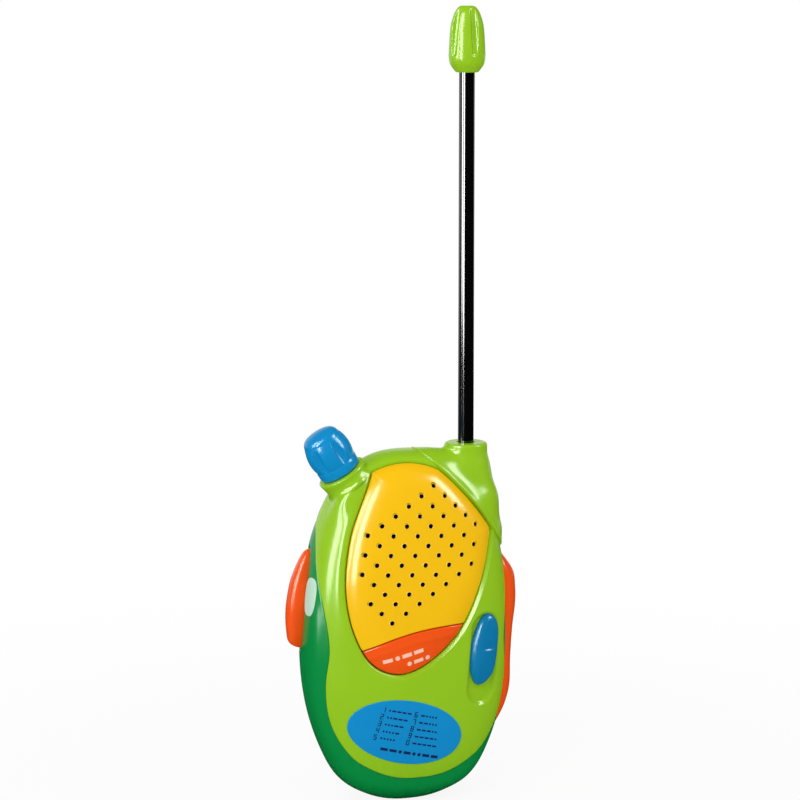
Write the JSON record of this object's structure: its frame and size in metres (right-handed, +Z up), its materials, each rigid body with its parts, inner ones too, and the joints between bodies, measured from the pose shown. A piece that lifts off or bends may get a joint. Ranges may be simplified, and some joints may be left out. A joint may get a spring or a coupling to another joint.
{
  "type": "toy walkie talkie",
  "caption": "Toy walkie talkie: a pebble-shaped case with a rod antenna, a perforated speaker grille, a code key, a side talk button, a sliding switch and a leaning volume knob.",
  "frame": {"origin": "middle of the small flat foot under the case, in line with the case's widest section", "axes": "+Z up along the antenna, -Y out of the speaker face, +X to the right seen from the front"},
  "size_m": [0.0882, 0.037, 0.2915],
  "materials": {
    "lime": "gloss moulded plastic",
    "green": "gloss moulded plastic",
    "yellow": "gloss moulded plastic",
    "orange": "gloss moulded plastic",
    "blue": "gloss moulded plastic",
    "label_blue": "satin printed label",
    "label_mint": "satin label",
    "black_rod": "gloss moulded plastic",
    "steel": "plain steel",
    "aluminium_can": "plain aluminium",
    "sleeve": "shrunk sleeve",
    "magnet": "plain ferrite",
    "paper_cone": "pressed paper",
    "foam": "closed-cell foam",
    "board": "circuit board",
    "black_part": "moulded plastic",
    "white_part": "moulded plastic",
    "battery_can": "plain jacket",
    "lead": "insulated wire"
  },
  "bodies": {
    "case": {"front_shell": "lime", "rear_shell": "green", "antenna_shoulder": "lime", "speaker_grille": "yellow", "code_label": "label_blue", "talk_label": "label_mint", "finger_grip": "orange", "antenna_rod": "black_rod", "antenna_tip": "lime", "antenna_screw": "steel", "volume_control": "steel", "volume_nut": "steel", "talk_spring": "steel", "talk_switch": "black_part", "slide_switch": "steel", "key_switch": "black_part", "key_board": "board", "speaker_gasket": "foam", "speaker_frame": "steel", "speaker_cone": "paper_cone", "speaker_magnet": "magnet", "main_board": "board", "board_screws": "steel", "tuning_coils": "aluminium_can", "audio_chip": "black_part", "capacitors": "sleeve", "battery": "battery_can", "battery_snap": "black_part", "case_screws": "steel", "battery_leads": "lead", "speaker_leads": "lead"},
    "knob": {"volume_knob": "blue", "volume_shaft": "steel"},
    "talk": {"talk_button": "orange", "talk_plunger": "white_part"},
    "key": {"code_key": "orange", "key_plunger": "white_part"},
    "slider": {"power_slider": "blue", "slide_lever": "black_part"},
    "door": {"battery_door": "green", "door_screw": "steel"}
  },
  "joints": [
    {"name": "knob_turn", "type": "hinge", "parent": "case", "child": "knob", "pos_m": [-0.02579, -0.004, 0.12512], "axis": [-0.5299, 0, 0.848], "range_deg": [-150, 150]},
    {"name": "talk_press", "type": "slide", "parent": "case", "child": "talk", "axis": [1, 0, 0], "range_m": [0, 0.002], "stiffness_N_per_m": 600, "springref_m": -0.002, "deforming": ["talk_spring"]},
    {"name": "key_press", "type": "slide", "parent": "case", "child": "key", "axis": [0, 1, 0], "range_m": [0, 0.0012], "stiffness_N_per_m": 900, "springref_m": -0.0015},
    {"name": "power_slide", "type": "slide", "parent": "case", "child": "slider", "axis": [-0.075, 0, -0.9972], "range_m": [0, 0.007]},
    {"name": "door_swing", "type": "hinge", "parent": "case", "child": "door", "pos_m": [0, 0.011, 0.0705], "axis": [1, 0, 0], "range_deg": [0, 100]}
  ]
}
